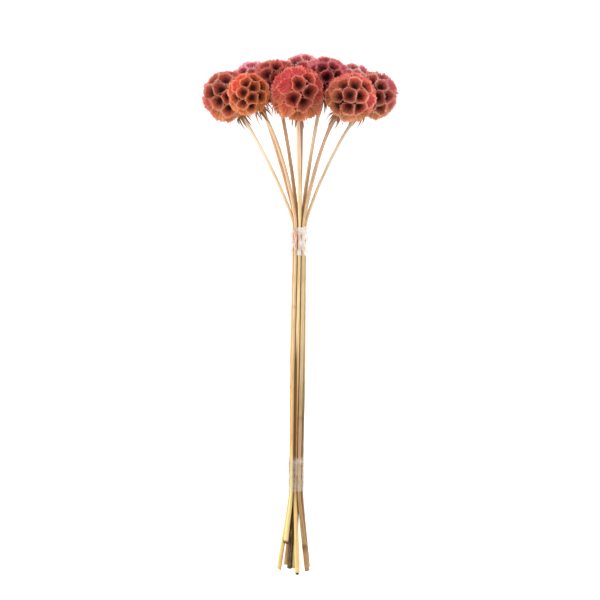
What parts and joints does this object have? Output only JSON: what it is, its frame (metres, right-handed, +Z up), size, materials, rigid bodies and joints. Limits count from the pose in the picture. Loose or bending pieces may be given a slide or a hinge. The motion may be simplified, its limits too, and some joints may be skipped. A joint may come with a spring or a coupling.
{
  "type": "bunch of dried star scabious",
  "caption": "Bound bunch of dried star scabious seed heads in coral and rose on straw-coloured stems, held by two clear film ties and lying on its side.",
  "frame": {"origin": "on the table, below the middle of the bunch's outline seen from above", "axes": "+Y along the stems towards the seed heads, +Z up from the table, +X across the bunch"},
  "size_m": [0.1673, 0.4573, 0.1159],
  "materials": {
    "papery_cups_rose": "matte",
    "papery_cups_orange": "matte",
    "papery_cups_coral": "matte",
    "papery_cups_magenta": "matte",
    "papery_cups_russet": "matte",
    "dry_bracts": "matte",
    "straw_stem": "matte",
    "clear_film": "gloss"
  },
  "bodies": {
    "root": {"head_01": "papery_cups_rose", "head_02": "papery_cups_orange", "head_03": "papery_cups_coral", "head_04": "papery_cups_coral", "head_05": "papery_cups_rose", "head_06": "papery_cups_magenta", "head_07": "papery_cups_russet", "head_08": "papery_cups_magenta", "head_09": "papery_cups_magenta", "head_10": "papery_cups_rose", "bracts_01": "dry_bracts", "bracts_02": "dry_bracts", "bracts_03": "dry_bracts", "bracts_04": "dry_bracts", "bracts_05": "dry_bracts", "bracts_06": "dry_bracts", "bracts_07": "dry_bracts", "bracts_08": "dry_bracts", "bracts_09": "dry_bracts", "bracts_10": "dry_bracts", "stem_01": "straw_stem", "stem_02": "straw_stem", "stem_03": "straw_stem", "stem_04": "straw_stem", "stem_05": "straw_stem", "stem_06": "straw_stem", "stem_07": "straw_stem", "stem_08": "straw_stem", "stem_09": "straw_stem", "stem_10": "straw_stem", "upper_tie": "clear_film", "lower_tie": "clear_film"}
  },
  "joints": []
}
